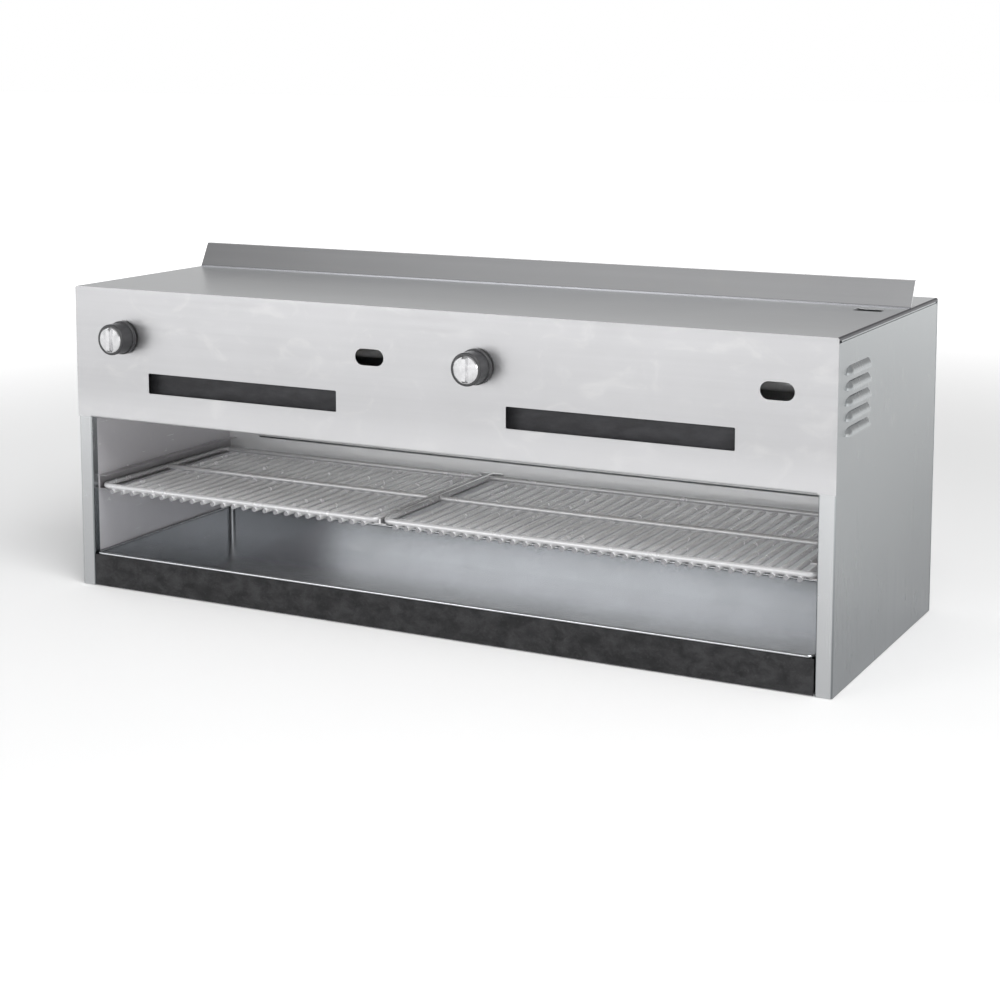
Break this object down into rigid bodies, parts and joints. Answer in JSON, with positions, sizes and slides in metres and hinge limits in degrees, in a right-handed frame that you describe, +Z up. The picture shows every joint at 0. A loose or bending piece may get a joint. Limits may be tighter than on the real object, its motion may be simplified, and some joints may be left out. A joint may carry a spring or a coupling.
{
  "type": "cheese melter",
  "caption": "Countertop gas cheese melter: wide open-front stainless case with infrared burners in its ceiling, sliding wire racks and a pull-out drip pan.",
  "frame": {"origin": "centre of the case's underside", "axes": "+X to the right as seen from the front, +Y to the back, +Z up"},
  "size_m": [1.231, 0.512, 0.5075],
  "materials": {
    "case_steel": "satin stainless sheet",
    "riser_steel": "satin stainless sheet",
    "liner_steel": "satin aluminised sheet",
    "guide_steel": "satin",
    "plain_steel": "mill-finish galvanised sheet",
    "baffle_black": "matt heat-proof black",
    "rack_chrome": "bright plated wire",
    "pan_steel": "bright, nearly mirror-like sheet",
    "pan_front_enamel": "mottled charcoal, heat-tinted",
    "knob_chrome": "polished cap in the knob",
    "knob_black": "moulded phenolic body",
    "valve_brass": "machined",
    "tube_aluminium": "drawn tube",
    "mixer_cast": "as cast, aluminised",
    "plenum_steel": "aluminised sheet",
    "tile_ceramic": null,
    "guard_steel": "perforated stainless sheet, heat-tinted",
    "pilot_steel": "machined",
    "pipe_black": "black pipe varnish",
    "bracket_steel": "zinc plated",
    "regulator_aluminium": "die cast",
    "fixing_zinc": "zinc plated"
  },
  "bodies": {
    "case": {"left_side_panel": "case_steel", "right_side_panel": "case_steel", "roof_panel": "case_steel", "flue_riser": "riser_steel", "back_panel": "plain_steel", "base_panel": "plain_steel", "front_panel": "case_steel", "left_liner": "liner_steel", "right_liner": "liner_steel", "rear_liner": "liner_steel", "burner_deck": "liner_steel", "left_flue_side": "plain_steel", "right_flue_side": "plain_steel", "left_slot_baffle": "baffle_black", "right_slot_baffle": "baffle_black", "left_rack_guide": "guide_steel", "right_rack_guide": "guide_steel", "centre_rack_rail": "guide_steel", "left_valve": "valve_brass", "right_valve": "valve_brass", "left_burner_tube": "tube_aluminium", "right_burner_tube": "tube_aluminium", "left_orifice": "valve_brass", "right_orifice": "valve_brass", "left_mixing_tube": "mixer_cast", "right_mixing_tube": "mixer_cast", "left_plenum": "plenum_steel", "right_plenum": "plenum_steel", "left_tiles": "tile_ceramic", "right_tiles": "tile_ceramic", "left_burner_guard": "guard_steel", "right_burner_guard": "guard_steel", "left_pilot_valve": "valve_brass", "right_pilot_valve": "valve_brass", "left_pilot_tube": "tube_aluminium", "right_pilot_tube": "tube_aluminium", "left_pilot_burner": "pilot_steel", "right_pilot_burner": "pilot_steel", "manifold_pipe": "pipe_black", "manifold_cap": "pipe_black", "manifold_brackets": "bracket_steel", "supply_elbow": "pipe_black", "gas_regulator": "regulator_aluminium", "supply_pipe": "pipe_black", "inlet_coupling": "pipe_black", "rear_rail": "plain_steel", "leg_nuts": "fixing_zinc", "back_screws": "fixing_zinc"},
    "pan": {"drip_pan": "pan_steel", "pan_front": "pan_front_enamel"},
    "left_rack": {"left_rack": "rack_chrome"},
    "right_rack": {"right_rack": "rack_chrome"},
    "left_control": {"left_knob": "knob_black", "left_knob_cap": "knob_chrome", "left_valve_stem": "valve_brass"},
    "right_control": {"right_knob": "knob_black", "right_knob_cap": "knob_chrome", "right_valve_stem": "valve_brass"}
  },
  "joints": [
    {"name": "pan_slide", "type": "slide", "parent": "case", "child": "pan", "axis": [0, -1, 0], "range_m": [0, 0.3]},
    {"name": "left_rack_slide", "type": "slide", "parent": "case", "child": "left_rack", "axis": [0, -1, 0], "range_m": [0, 0.25]},
    {"name": "right_rack_slide", "type": "slide", "parent": "case", "child": "right_rack", "axis": [0, -1, 0], "range_m": [0, 0.25]},
    {"name": "left_knob_turn", "type": "hinge", "parent": "case", "child": "left_control", "pos_m": [-0.517, -0.234, 0.396], "axis": [0, -1, 0], "range_deg": [0, 90]},
    {"name": "right_knob_turn", "type": "hinge", "parent": "case", "child": "right_control", "pos_m": [0.093, -0.234, 0.396], "axis": [0, -1, 0], "range_deg": [0, 90]}
  ]
}
